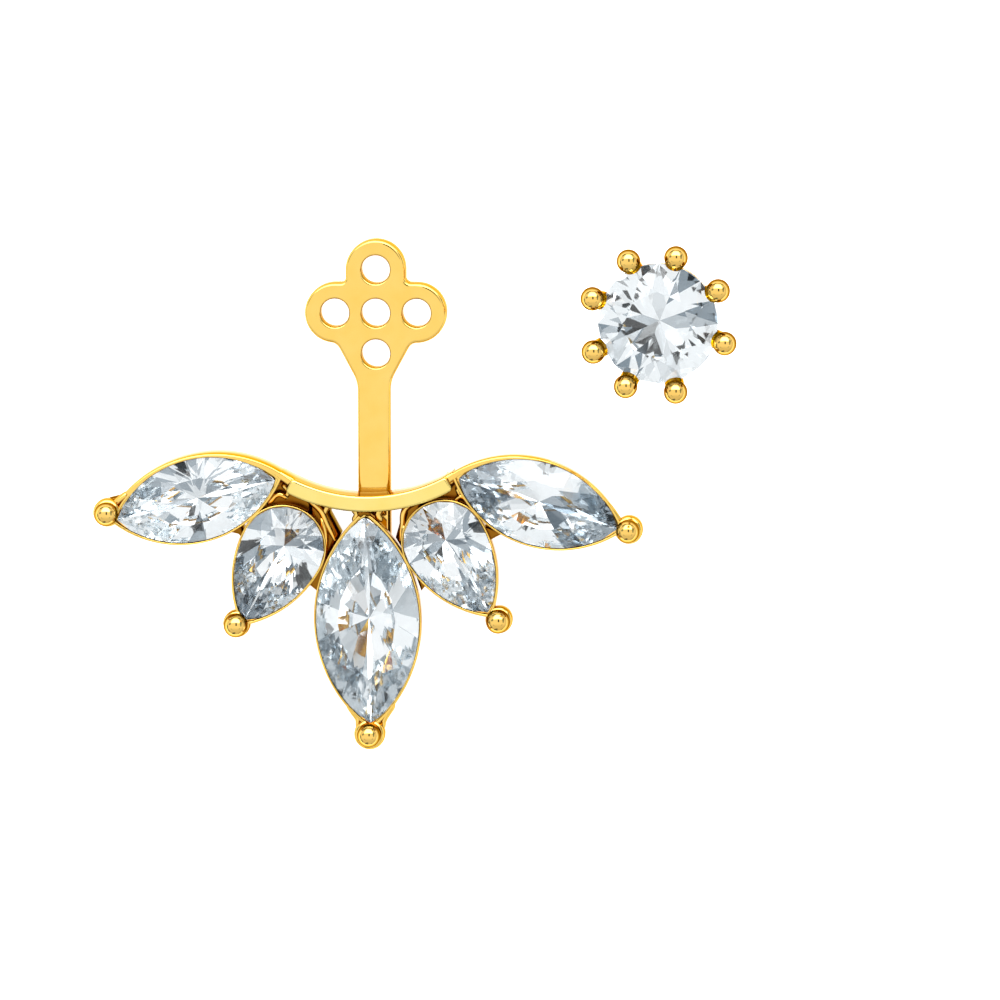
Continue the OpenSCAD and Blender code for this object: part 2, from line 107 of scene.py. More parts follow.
# Stones of the fan: centre, turn, then a marquise's half length and half width, or a pear's radius and
# the distance from its round end's centre to its tip, and last how far the floor of the cup draws in
Stone = namedtuple("Stone", "shape x y turn a b floor_inset")
STONES = {
    "centre": Stone("marquise", -0.33, -14.92, 1.6, 5.17, 2.52, 1.9),
    "left_wing": Stone("marquise", -8.71, -9.05, -75.6, 4.10, 2.00, 1.5),
    "right_wing": Stone("marquise", 8.03, -9.15, 72.8, 4.18, 2.03, 1.5),
    "left_pear": Stone("pear", -4.47, -11.38, -28.0, 2.01, 4.14, 1.5),
    "right_pear": Stone("pear", 3.43, -11.07, 32.1, 2.00, 4.14, 1.5)}

# Balls, each beside the stone that it holds: x, y, radius, radius of the post under it
BALLS = {"centre": (-0.26, -20.53, 0.58, 0.76), "left_wing": (-13.08, -9.70, 0.59, 0.69),
         "right_wing": (12.45, -10.43, 0.58, 0.69), "left_pear": (-6.75, -15.13, 0.60, 0.67),
         "right_pear": (6.09, -14.88, 0.60, 0.67)}
BALL_Z = 3.10
# Posts under the balls: height, part of the radius
POST_PROFILE = [(0.35, 0.5), (0.40, 0.55), (1.80, 1.0), (2.44, 1.0), (2.56, 0.97), (2.63, 0.9), (2.66, 0.8)]

# Webs, struts, gussets and shoulders between the cups: outline, back, front and rounding of the edges
WEBS = {
    "left_web": ([(-5.9, -7.55), (-4.6, -8.0), (-3.7, -8.45), (-2.9, -9.1), (-3.1, -10.1), (-4.6, -9.9),
                  (-6.3, -9.8)], 0.6, 1.5, 0.28),
    "right_web": ([(5.2, -7.5), (3.9, -8.0), (3.0, -8.6), (2.2, -9.0), (2.25, -9.8), (3.4, -9.6),
                   (4.6, -9.7), (5.7, -9.8)], 0.6, 1.5, 0.28),
    "left_strut": ([(-3.3, -8.9), (-2.21, -9.2), (-2.2, -9.75), (-1.67, -10.75), (-2.35, -12.3),
                    (-3.0, -12.1), (-3.2, -10.2)], 0.6, 1.9, 0.28),
    "right_strut": ([(2.5, -8.7), (1.3, -9.2), (1.34, -9.69), (0.99, -10.95), (1.8, -12.3),
                     (2.35, -12.1), (2.3, -9.9)], 0.6, 1.9, 0.28),
    "left_centre_gusset": ([(-2.5, -11.9), (-2.2, -11.9), (-2.72, -13.62), (-3.25, -13.2)], 0.6, 2.25, 0.12),
    "right_centre_gusset": ([(1.7, -11.9), (2.1, -11.9), (2.6, -13.1), (2.28, -13.5)], 0.6, 2.25, 0.12),
    "left_wing_gusset": ([(-6.5, -10.3), (-6.2, -11.3), (-6.66, -10.75), (-7.2, -10.62)], 0.6, 2.25, 0.12),
    "right_wing_gusset": ([(5.4, -10.3), (5.3, -11.2), (5.92, -10.85), (6.4, -10.6)], 0.6, 2.25, 0.12),
    "left_shoulder_web": ([(-12.15, -8.80), (-13.2, -9.07), (-13.1, -9.7), (-12.4, -9.5)], 1.6, 2.1, 0.12)}
# Beads of solder on the struts, by the stones' tips and at the shoulders: path, radius, height
BEADS = {
    "left_strut_bead": ([(-3.35, -8.95), (-2.85, -9.35), (-2.57, -9.70), (-2.36, -10.20), (-1.95, -11.05)],
                        0.20, 2.12),
    "left_strut_branch": ([(-2.25, -9.30), (-2.40, -9.55), (-2.50, -9.85)], 0.17, 2.08),
    "left_pear_bead": ([(-2.62, -9.95), (-2.42, -10.7), (-2.42, -11.6), (-2.55, -12.3)], 0.14, 2.20),
    "right_strut_bead": ([(2.3, -8.95), (1.62, -9.36), (1.40, -9.75), (1.36, -10.30), (1.25, -11.05)],
                         0.19, 2.12),
    "right_pear_bead": ([(1.42, -10.3), (1.48, -11.1), (1.75, -12.0)], 0.14, 2.20),
    "left_tip_bead": ([(-1.02, -9.40), (-0.84, -9.75), (-1.05, -10.08)], 0.22, 2.28),
    "right_tip_bead": ([(0.33, -9.40), (0.17, -9.75), (0.38, -10.08)], 0.22, 2.28),
    "left_web_bead": ([(-5.25, -9.30), (-4.75, -8.80), (-4.25, -9.00)], 0.16, 2.10),
    "left_wing_bead": ([(-5.60, -9.00), (-5.05, -8.40), (-4.60, -8.25)], 0.16, 2.25),
    "left_end_bead": ([(-4.55, -8.30), (-4.25, -8.62), (-4.40, -9.05)], 0.15, 2.00),
    "right_web_bead": ([(4.60, -9.15), (4.25, -8.85), (3.85, -9.15)], 0.16, 2.10),
    "right_wing_bead": ([(4.15, -8.20), (3.85, -8.05), (3.60, -8.30)], 0.18, 2.25),
    "right_end_bead": ([(4.05, -8.35), (4.15, -8.75), (4.60, -9.20)], 0.15, 2.00),
    "left_shoulder": ([(-11.95, -8.72), (-12.40, -9.02), (-12.72, -9.30), (-12.85, -9.60)], 0.21, 2.36),
    "right_shoulder": ([(11.15, -9.00), (11.60, -9.44), (11.88, -9.80), (12.10, -10.10)], 0.19, 2.40),
    "left_end_flare": ([(-1.35, -19.00), (-1.02, -19.50), (-0.82, -19.85), (-0.86, -20.25)], 0.19, 2.38),
    "right_end_flare": ([(0.95, -19.00), (0.62, -19.50), (0.42, -19.90), (0.40, -20.30)], 0.19, 2.38)}
# Bead in the shade of the collar, over the centre cup's upper tip
TIP_SOLDER = ([(-0.78, -9.74), (-0.48, -9.58), (-0.18, -9.74)], 0.21, 2.62)
BEAD_THINS = 0.35  # part of the radius that is lost on the way to the foot
BEAD_END = 0.4  # part of the radius at the very ends
BEAD_TAPER = 4  # how fast it grows from there

# Stud: claws by their turn, and profiles by height and part of the radius
STUD = (14.49, 0.78)
CLAWS = [29.4, 74.4, 114.3, 158.3, 203.3, 242.8, 285.0, 344.5]
CLAW_RING_R = 3.38
CLAW_BALL_R = 0.58
CLAW_BALL_Z = 12.78
CLAW_WIRE_R = 0.36
CLAW_NECK_R = 0.50
CLAW_FOOT_R = 1.15
GALLERY_R = 2.55
GALLERY_Z = 11.34
GALLERY_WIRE = 0.30
BASE_R = 1.30
BASE_Z = 8.80
BASE_PROFILE = [(8.50, 0.94), (8.56, 1.0), (9.34, 1.0), (9.40, 0.94)]
STUD_POST_R = 0.45
STUD_POST_PROFILE = [(0.80, 0.5), (1.05, 1.0), (8.80, 1.0)]
STUD_STONE_R = 2.92
STUD_GIRDLE_Z = 12.20
# Height from the girdle, part of the radius
ROUND_ROOM = [(-2.1, 0.2), (-0.09, 1.0), (0.09, 1.0), (0.64, 0.82), (1.04, 0.56)]

# How finely curves are divided, and where faces and edges count as level, sharp or the same
OUTLINE_STEPS = 48
CIRCLE_STEPS = 48
ROUND_ROOM_STEPS = 96
STUD_POST_STEPS = 32
WIRE_STEPS = 16  # around beads of solder and the gallery's wire
SPIN_STEPS = 96
WING_STEPS = 72
BAR_STEPS = 120
BAR_CORNER_STEPS = 6
STRAP_STEPS = 24
LOBE_STEPS = 32
TOP_LOBE_STEPS = 20
BEND_STEPS = 8
CLAW_SIDES = 32
BALL_SIDES = (48, 32)
CLAW_BALL_SIDES = (40, 28)
SECTION_FOOT = 0.02  # rounding of a wall's lower corners
MITRE_LIMIT = 0.3  # keeps a very sharp corner of an outline from running out
SHARP = 35  # degrees between faces
LEVEL_NORMAL = 0.9999  # upward part of a level face's normal
LEVEL = 0.0001  # difference in height
WELD = 0.002  # distance of points that become one

# Light tent, by the tangent of the angle from straight up: middle, half width and blur
SLOT_ACROSS = (0.15, 0.10, 0.03)
SLOT_ALONG = (0.29, 0.25, 0.04)
SLOT_DARK = 0.95
LAMP_ACROSS = (0.1, 1.1, 0.15)
LAMP_ALONG = (1.9, 1.2, 0.15)
LAMP_GAIN = 3.0
FOLD_SCALE = 1.7
FOLD_RANGE = (0.38, 0.45)
FOLD_TOP = (0.60, 0.75)
TENT_LEVEL = 0.64
TENT_RISE = 0.22  # how much brighter it is away from the part's lower end
TENT_RISE_RANGE = (-0.75, -0.15)
TENT_STRENGTH = 1.2
HORIZON = 0.001  # least height, against division by zero

# Table, and the camera with its focal length in the picture's pixels
FLOOR_HALF = 1500
FLOOR_DROP = 0.02
FOCAL_PX = 24508.3
PICTURE_PX = 1000
SENSOR = 36.0
CAMERA_CLIP = (100, 10000)
CAMERA_PLACE = (84.70, 129.19, 1187.89)
CAMERA_TURN = ((0.997831, -0.004642, 0.065666), (-0.002982, 0.9933, 0.115526),
               (-0.065762, -0.115471, 0.991132))
BOUNCES = (24, 20, 24)


# The linear colour that shaders take, from an sRGB hex one
def linear(hex_colour):
    parts = [int(hex_colour[i:i + 2], 16) / 255 for i in (1, 3, 5)]
    return tuple(c / 12.92 if c < 0.04045 else ((c + 0.055) / 1.055) ** 2.4 for c in parts) + (1.0,)


# New node of a shader tree, with sockets or constants at its inputs
def add_node(tree, kind, inputs=(), **settings):
    node = tree.nodes.new(kind)
    for name, value in settings.items():
        setattr(node, name, value)
    for name, value in dict(inputs).items():
        if isinstance(value, bpy.types.NodeSocket):
            tree.links.new(value, node.inputs[name])
        else:
            node.inputs[name].default_value = value
    return node


def noise(tree, place, scale, detail):
    return add_node(tree, "ShaderNodeTexNoise", {
        "Vector": place, "Scale": scale, "Detail": detail}).outputs["Fac"]


def mix(tree, factor, a, b):
    return add_node(tree, "ShaderNodeMix", {
        "Factor": factor, "A": a, "B": b}, data_type="RGBA").outputs["Result"]


def soft_step(tree, value, low, high):
    return add_node(tree, "ShaderNodeMapRange", {
        "Value": value, "From Min": low, "From Max": high}, interpolation_type="SMOOTHSTEP").outputs["Result"]


def calculate(tree, operation, a, b=0.0):
    return add_node(tree, "ShaderNodeMath", {0: a, 1: b}, operation=operation).outputs["Value"]


def blank_material(name):
    material = bpy.data.materials.new(name)
    material.use_nodes = True
    material.node_tree.nodes.clear()
    return material, material.node_tree


# Gold plate: a mirror with a very slight random unevenness of colour, roughness and surface, and painted
# shade on upright walls, where a deeper, redder colour stands in for the shade that falls there
def gold_plate(name, top, wall, rough):
    material, tree = blank_material(name)
    coordinates = add_node(tree, "ShaderNodeTexCoord").outputs
    facing = add_node(tree, "ShaderNodeSeparateXYZ", {"Vector": coordinates["Normal"]}).outputs["Z"]
    # painted shade: the more upright a face, the more it takes the wall colour in place of the top colour
    free_of_painted_shade = soft_step(tree, calculate(tree, "ABSOLUTE", facing), 0.30, 0.95)
    cloud = noise(tree, coordinates["Object"], 900.0, 2.0)
    tint = mix(tree, cloud, linear(top[0]), linear(top[1]))
    colour = mix(tree, free_of_painted_shade, linear(wall), tint)
    worn = add_node(tree, "ShaderNodeMapRange", {"Value": cloud, "To Min": rough[0], "To Max": rough[1]})
    bump = add_node(tree, "ShaderNodeBump", {
        "Height": noise(tree, coordinates["Object"], 2200.0, 3.0), "Strength": 0.03, "Distance": 0.000004})
    shader = add_node(tree, "ShaderNodeBsdfPrincipled", {
        "Base Color": colour, "Metallic": 1.0, "Roughness": worn.outputs["Result"],
        "Specular Tint": linear("#EFCB7A"), "Normal": bump.outputs["Normal"]})
    add_node(tree, "ShaderNodeOutputMaterial", {"Surface": shader.outputs["BSDF"]})
    return material


# Cut crystal glass, clear on the crown and silver foiled from the girdle down, so that light which enters
# comes back through the facets. Some facets, picked by a noise over the way they face, take a greyer foil
# colour and look darker.
def foiled_crystal(name, girdle_z, greyed_facet_colour):
    material, tree = blank_material(name)
    coordinates = add_node(tree, "ShaderNodeTexCoord").outputs
    height = add_node(tree, "ShaderNodeSeparateXYZ", {"Vector": coordinates["Object"]}).outputs["Z"]
    foil = calculate(tree, "LESS_THAN", height, (girdle_z + FOIL_EDGE) * MM)
    cover = soft_step(tree, noise(tree, coordinates["Normal"], 5.0, 0.0), 0.36, 0.42)
    bright = linear("#FAFCFD")
    colour = mix(tree, foil, bright, mix(tree, cover, linear(greyed_facet_colour), bright))
    shader = add_node(tree, "ShaderNodeBsdfPrincipled", {
        "Base Color": colour, "Metallic": foil, "Roughness": calculate(tree, "MULTIPLY", foil, 0.045),
        "IOR": 1.52, "Transmission Weight": 1.0})
    add_node(tree, "ShaderNodeOutputMaterial", {"Surface": shader.outputs["BSDF"]})
    return material


# Opal acrylic over a light box, as small goods are photographed on, so that shadows stay pale
def pale_floor():
    material, tree = blank_material("backlit_opal_acrylic")
    place = add_node(tree, "ShaderNodeTexCoord").outputs["Object"]
    colour = mix(tree, noise(tree, place, 300.0, 2.0), linear("#FFFFFF"), linear("#FBFBFB"))
    shader = add_node(tree, "ShaderNodeBsdfPrincipled", {
        "Base Color": colour, "Roughness": 0.9, "Emission Color": linear("#FFFFFF"),
        "Emission Strength": 0.95})
    add_node(tree, "ShaderNodeOutputMaterial", {"Surface": shader.outputs["BSDF"]})
    return material


# The plate's main gold; a lighter copy on the collar, a painted highlight for the lamp's light that it faces;
# a mirror on the balls, with dark painted shade on their sides; and dark, rougher gold in the hollows between
# the cups, painted shade there
GOLD = gold_plate("polished_gold_plate", ("#FFCF62", "#FFDB7C"), "#A97A26", (0.04, 0.09))
# painted highlight: a lighter copy of the gold for the collar, which faces the lamp
PAINTED_LIT_COLLAR_GOLD = gold_plate("gold_plate_with_painted_lamp_light_on_collar", ("#FFDF78", "#FFEA92"), "#A3813A", (0.04, 0.09))
# painted shade: the balls' sides take a very dark wall colour
BALL_GOLD_WITH_PAINTED_SHADE = gold_plate("mirror_gold_plate_with_painted_side_shade_on_balls", ("#FFCC66", "#FFD87A"), "#5E3808", (0.02, 0.05))
# painted shade: a dark brown, rougher gold for the hollows between the cups, in place of the shade there
PAINTED_SHADE_HOLLOW_GOLD = gold_plate("gold_plate_with_painted_shade_in_hollows", ("#84540F", "#A36C1E"), "#3E2206", (0.12, 0.22))


# Round faces are shaded smooth up to their sharp edges, and level ones flat
def shade(mesh):
    mesh.set_sharp_from_angle(angle=radians(SHARP))
    for face in mesh.polygons:
        face.use_smooth = abs(face.normal.z) < LEVEL_NORMAL


def new_object(name, bm):
    mesh = bpy.data.meshes.new(name)
    bm.to_mesh(mesh)
    bm.free()
    obj = bpy.data.objects.new(name, mesh)
    bpy.context.scene.collection.objects.link(obj)
    return obj


# Visible piece of metal, in place of the node given
def piece(name, bm, node, material=GOLD):
    bmesh.ops.remove_doubles(bm, verts=bm.verts, dist=WELD * MM)
    bmesh.ops.recalc_face_normals(bm, faces=bm.faces)
    obj = new_object(name, bm)
    shade(obj.data)
    obj.data.materials.append(material)
    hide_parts(node)
    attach(obj, "root")
    return obj


# A closed ring of points extruded through the others; gives its first and last edges
def sweep(bm, rings, closed=True):
    verts = [bm.verts.new(Vector(point) * MM) for point in rings[0]]
    edges = [bm.edges.new((v, verts[(i + 1) % len(verts)])) for i, v in enumerate(verts)]
    first = edges
    for ring in rings[1:]:
        made = bmesh.ops.extrude_edge_only(bm, edges=edges)["geom"]
        fresh = {v for v in made if isinstance(v, bmesh.types.BMVert)}
        verts = [next(e.other_vert(v) for e in v.link_edges if e.other_vert(v) in fresh) for v in verts]
        for v, point in zip(verts, ring):
            v.co = Vector(point) * MM
        edges = [e for e in made if isinstance(e, bmesh.types.BMEdge) and all(v in fresh for v in e.verts)]
    if closed:
        bmesh.ops.contextual_create(bm, geom=first)
        bmesh.ops.contextual_create(bm, geom=edges)
    return first, edges


# The same for outlines that lie level, each at its own height
def loft(bm, sections, closed=True):
    return sweep(bm, [[(x, y, z) for x, y in points] for points, z in sections], closed)


# Point on a circle
def at(c, r, turn):
    return (c[0] + r * cos(radians(turn)), c[1] + r * sin(radians(turn)))


def circle(c, r, n=CIRCLE_STEPS):
    return [at(c, r, 360 * i / n) for i in range(n)]


def arc(c, r, start, end, n):
    return [at(c, r, start + (end - start) * i / n) for i in range(n + 1)]


# Turns from 0 to 90 degrees, in radians
def quarter(n):
    return [radians(90 * i / n) for i in range(n + 1)]


# Curve that rounds the corner between two points of an outline
def bend(start, corner, end, n=BEND_STEPS):
    return [tuple((1 - t) ** 2 * a + 2 * t * (1 - t) * c + t * t * b for a, c, b in zip(start, corner, end))
            for t in (i / n for i in range(n + 1))]


def toward(point, goal, distance):
    away = sqrt((goal[0] - point[0]) ** 2 + (goal[1] - point[1]) ** 2)
    return tuple(a + (b - a) * distance / away for a, b in zip(point, goal))


# Anticlockwise outline grown by g, less than fully at very sharp corners
def offset_outline(points, g):
    grown = []
    for i, (x, y) in enumerate(points):
        before, after = points[i - 1], points[(i + 1) % len(points)]
        arrive = Vector((x - before[0], y - before[1])).normalized()
        leave = Vector((after[0] - x, after[1] - y)).normalized()
        out = Vector((arrive.y, -arrive.x)) + Vector((leave.y, -leave.x))
        out = out / max(out.length_squared / 2, MITRE_LIMIT)
        grown.append((x + g * out.x, y + g * out.y))
    return grown


# Round form that stands on end: profile by height and part of the radius
def turned_form(bm, c, r, profile, n=CIRCLE_STEPS):
    loft(bm, [(circle(c, r * part, n), z) for z, part in profile])


def add_ball(bm, place, r, sides):
    bmesh.ops.create_uvsphere(bm, u_segments=sides[0], v_segments=sides[1], radius=r * MM,
                              matrix=Matrix.Translation(place))


# Points around a stone's own centre, brought to its turn and place
def placed(points, stone):
    t = radians(stone.turn)
    return [(stone.x + x * cos(t) - y * sin(t), stone.y + x * sin(t) + y * cos(t)) for x, y in points]


# Outline of a marquise of half length a and half width b, grown by g, anticlockwise from the lower tip
def marquise(stone, a, b, g):
    r = (a * a + b * b) / (2 * b)
    top = acos((r - b) / (r + g))
    right = [(b - r + (r + g) * cos(t), (r + g) * sin(t))
             for t in (top * (2 * i / OUTLINE_STEPS - 1) for i in range(OUTLINE_STEPS))]
    return placed(right + [(-x, -y) for x, y in right], stone)


# The same for a pear of radius r whose tip lies at the given distance below its round end's centre
def pear(stone, r, tip, g):
    big = (tip * tip + r * r) / (2 * r)
    low = acos((big - r) / (big + g))
    side = [(r - big + (big + g) * cos(t), (big + g) * sin(t))
            for t in (low * (i / OUTLINE_STEPS - 1) for i in range(OUTLINE_STEPS))]
    end = [((r + g) * cos(t), (r + g) * sin(t))
           for t in (0.5 * pi * i / OUTLINE_STEPS for i in range(OUTLINE_STEPS))]
    right = side + end
    return placed(right + [(0, r + g)] + [(-x, y) for x, y in reversed(right[1:])], stone)


# Outline of a stone, or of a cup with the given wall and tip around it, grown by g
def outline(stone, g, wall=0.0, tip=0.0):
    if stone.shape == "marquise":
        return marquise(stone, stone.a + tip, stone.b + wall, g)
    return pear(stone, stone.a + wall, stone.b + tip, g)


# Cutting tool in the shape of a stone's room
def cutting_tool(name, bm):
    bmesh.ops.recalc_face_normals(bm, faces=bm.faces)
    return new_object(name + "_room", bm)


# Room of a stone of the fan: narrow over the cup's floor, and open above
def room(name):
    bm = bmesh.new()
    loft(bm, [(outline(STONES[name], g), z) for z, g in STONE_ROOM])
    return cutting_tool(name, bm)


# Room of the round stone, close around its crown and pavilion
def stud_room():
    bm = bmesh.new()
    profile = [(STUD_GIRDLE_Z + z, part) for z, part in ROUND_ROOM]
    turned_form(bm, STUD, STUD_STONE_R + STONE_GAP, profile, ROUND_ROOM_STEPS)
    return cutting_tool("stud_stone", bm)


ROOMS = {**{name: room(name) for name in STONES}, "stud_stone": stud_room()}


# Takes the rooms of the named stones out of metal that reaches into them
def carve(obj, names):
    for name in names:
        cut = obj.modifiers.new(name, "BOOLEAN")
        cut.operation = "DIFFERENCE"
        cut.solver = "EXACT"
        cut.object = ROOMS[name]
    bpy.context.view_layer.update()
    mesh = bpy.data.meshes.new_from_object(obj.evaluated_get(bpy.context.evaluated_depsgraph_get()))
    obj.modifiers.clear()
    obj.data = mesh
    shade(mesh)


# Thin bezel cup with a rounded rim, a seat under the stone and a closed back
def cup(name):
    stone = STONES[name]
    top = 0.5 * (CUP_WALL - STONE_GAP)
    turns = quarter(4)[1:]
    outer = [(0.0, -BACK_INSET), (CUP_FOOT_Z, CUP_FOOT_STEP - BACK_INSET), (WAIST_Z, 0.0), (RIM_Z - top, 0.0)]
    outer += [(RIM_Z - top + top * sin(t), -top + top * cos(t)) for t in turns]
    inner = [(RIM_Z - top + top * cos(t), STONE_GAP + top - top * sin(t)) for t in turns]
    inner += [(SEAT_Z, STONE_GAP), (SEAT_Z, -SEAT_W), (FLOOR_T, -stone.floor_inset)]
    bm = bmesh.new()
    loft(bm, [(outline(stone, g, CUP_WALL, CUP_TIP), z) for z, g in outer]
         + [(outline(stone, g), z) for z, g in inner])
    piece(name + "_cup", bm, "jacket_frame")


# Round post beside a cup's tip, and the ball on it that holds the stone
def ball_and_post(name):
    x, y, r, post_r = BALLS[name]
    bm = bmesh.new()
    turned_form(bm, (x, y), post_r, POST_PROFILE)
    carve(piece(name + "_post", bm, "jacket_frame"), [name])
    bm = bmesh.new()
    add_ball(bm, Vector((x, y, BALL_Z)) * MM, r, BALL_SIDES)
    piece(name + "_ball", bm, "jacket_frame", BALL_GOLD_WITH_PAINTED_SHADE)


# Upright wall of a rounded section, spun between two turns about a centre
def spun_wall(bm, c, section, start, end, steps):
    verts = [bm.verts.new(Vector((*at(c, r, start), z)) * MM) for r, z in section]
    face = bm.faces.new(verts)
    bmesh.ops.spin(bm, geom=[face, *face.edges, *face.verts], cent=(c[0] * MM, c[1] * MM, 0),
                   axis=(0, 0, 1), angle=radians(end - start), steps=steps, use_duplicate=False)


# Section between two radii and two heights, with its upper corners rounded by the given radius
def rounded_section(r_in, r_out, z0, z1, radius):
    corners = [(r_in, z0, SECTION_FOOT, 180), (r_out, z0, SECTION_FOOT, 270), (r_out, z1, radius, 0),
               (r_in, z1, radius, 90)]
    points = []
    for r, z, k, turn in corners:
        middle = (r + (k if r == r_in else -k), z + (k if z == z0 else -k))
        points += arc(middle, k, turn, turn + 90, 4)
    return points


# Bar's outline seen from the front, with its corners rounded
def bar_outline():
    inner, outer = COLLAR_R, COLLAR_R + COLLAR_W
    low, high = -90 - COLLAR_ENDS[0], -90 + COLLAR_ENDS[1]
    turn = degrees(COLLAR_CORNER / COLLAR_R)

    def corner(*places):
        return bend(*(at(COLLAR_C, r, t) for r, t in places), BAR_CORNER_STEPS)

    points = arc(COLLAR_C, outer, low + turn, high - turn, BAR_STEPS)[:-1]
    points += corner((outer, high - turn), (outer, high), (outer - COLLAR_CORNER, high))
    points += corner((inner + COLLAR_CORNER, high), (inner, high), (inner, high - turn))[:-1]
    points += arc(COLLAR_C, inner, high - turn, low + turn, BAR_STEPS)[:-1]
    points += corner((inner, low + turn), (inner, low), (inner + COLLAR_CORNER, low))
    return points + corner((outer - COLLAR_CORNER, low), (outer, low), (outer, low + turn))[:-1]


# The bar, the wall behind it, and the thin wall on to the wings
def collar():
    points = bar_outline()
    profile = [(-COLLAR_BEVEL, COLLAR_BAR_Z), (0, COLLAR_BAR_Z + COLLAR_BEVEL)]
    profile += [(COLLAR_EDGE * (cos(t) - 1), COLLAR_FRONT + COLLAR_EDGE * (sin(t) - 1)) for t in quarter(8)]
    bm = bmesh.new()
    loft(bm, [(offset_outline(points, g), z) for g, z in profile])
    # painted highlight: the collar's bar and walls take the lighter gold that stands in for the lamp's light
    # on them
    piece("collar_bar", bm, "jacket_frame", PAINTED_LIT_COLLAR_GOLD)
    section = rounded_section(COLLAR_R + WALL_STEP, COLLAR_R + COLLAR_W - COLLAR_LIP, COLLAR_BACK,
                              COLLAR_FRONT - COLLAR_LIP, WALL_EDGE)
    bm = bmesh.new()
    spun_wall(bm, COLLAR_C, section, -90 - COLLAR_ENDS[0] + WALL_SHORT, -90 + COLLAR_ENDS[1] - WALL_SHORT,
              SPIN_STEPS)
    piece("collar_wall", bm, "jacket_frame", PAINTED_LIT_COLLAR_GOLD)
    section = rounded_section(COLLAR_R + BACK_WALL_STEP, COLLAR_R + RIM_W, COLLAR_BACK,
                              RIM_Z - BACK_WALL_STEP, BACK_WALL_EDGE)
    bm = bmesh.new()
    spun_wall(bm, COLLAR_C, section, -90 - WING_TURN, -90 + WING_TURN, SPIN_STEPS)
    piece("collar_back_wall", bm, "jacket_frame", PAINTED_LIT_COLLAR_GOLD)


# Raised rim on the upper side of a wing, which starts where the collar ends
def wing_rim(name):
    side, r, back, span = WINGS[name]
    centre = at(COLLAR_C, WING_MEET_R + r, -90 + side * WING_TURN)
    start = 90 + side * (WING_TURN + WING_LAP)
    bm = bmesh.new()
    spun_wall(bm, centre, rounded_section(r - RIM_W, r, back, RIM_Z, RIM_EDGE), start, start - side * span,
              WING_STEPS)
    carve(piece(name + "_upper_rim", bm, "jacket_frame"), [name])


# Web, strut or gusset between the cups, with its upper edges rounded
def web(name, points, z0, z1, rounding):
    bm = bmesh.new()
    loft(bm, [(points, z0), (points, z1)])
    bmesh.ops.recalc_face_normals(bm, faces=bm.faces)
    rim = [e for e in bm.edges if all(v.co.z > (z1 - LEVEL) * MM for v in e.verts)]
    bmesh.ops.bevel(bm, geom=rim, affect="EDGES", offset=rounding * MM, segments=5, profile=0.5, material=-1)
    # painted shade: webs, struts and gussets take the dark gold of the hollows
    carve(piece(name, bm, "jacket_frame", PAINTED_SHADE_HOLLOW_GOLD), list(STONES))


# Smooth curve through the given points
def smooth_path(points, n=5):
    ends = [points[0], *points, points[-1]]
    path = []
    for a, b, c, d in zip(ends, ends[1:], ends[2:], ends[3:]):
        for t in (i / n for i in range(n)):
            path.append(b + 0.5 * t * (c - a + t * (2 * a - 5 * b + 4 * c - d + t * (3 * b - 3 * c + d - a))))
    return path + [points[-1]]


# Bead of solder, thick where it starts and thin at its foot, with tapered ends
def bead(name, points, r, z, material=GOLD):
    path = smooth_path([Vector((x, y, z)) for x, y in points])
    up, last = Vector((0, 0, 1)), len(path) - 1
    turns = [2 * pi * i / WIRE_STEPS for i in range(WIRE_STEPS)]
    rings = []
    for i, place in enumerate(path):
        ahead = (path[min(i + 1, last)] - path[max(i - 1, 0)]).normalized()
        beside, along = ahead.cross(up), i / last
        taper = min(1, BEAD_END + BEAD_TAPER * min(along, 1 - along))
        size = r * (1 - BEAD_THINS * along) * taper
        rings.append([place + size * (cos(t) * beside + sin(t) * up) for t in turns])
    bm = bmesh.new()
    sweep(bm, rings)
    carve(piece(name, bm, "jacket_frame", material), list(STONES))


# One half of the plate's outline, from the strap's lower end up to the top lobe; side is 1 for the right one
def plate_side(side):
    neck = (STRAP_W / 2 + side * STRAP_X, NECK_Y)
    foot = (neck[0], STRAP_END)
    shoulder = (SHOULDER_W / 2 + side * STRAP_X, SHOULDER_Y)
    lobe = HOLES[1]
    # where the narrowing's edge leaves the side lobe
    slope = (shoulder[1] - neck[1]) / (shoulder[0] - neck[0])
    for turn in range(-60, -180, -1):
        corner = at(lobe, LOBE_R, turn)
        if corner[1] > neck[1] + slope * (corner[0] - neck[0]):
            break
    lobe_start = at(lobe, LOBE_R, turn + LOBE_BEND)
    c = LOBE_R + LOBE_FILLET
    bend_y = neck[1] - NECK_BEND
    half = [(foot[0], foot[1] + (bend_y - foot[1]) * i / STRAP_STEPS) for i in range(STRAP_STEPS)]
    half += bend(toward(neck, foot, NECK_BEND), neck, toward(neck, shoulder, NECK_BEND))
    half += bend(toward(corner, neck, CORNER_BEND), corner, lobe_start)
    half += arc(lobe, LOBE_R, turn + LOBE_BEND, 90, LOBE_STEPS)[1:]
    half += arc((c, c), LOBE_FILLET, 270, 180, BEND_STEPS)
    return half + arc(HOLES[3], LOBE_R, 0, 90, TOP_LOBE_STEPS)


# Heights up the plate's side and its growth there, with the front edge rounded by the given radius
def plate_profile(edge):
    foot = BACK_EDGE_PART * edge
    front = [(PLATE_T + edge * (sin(t) - 1), edge * (cos(t) - 1)) for t in quarter(6)]
    return [(0.0, -foot), (foot, 0.0)] + front


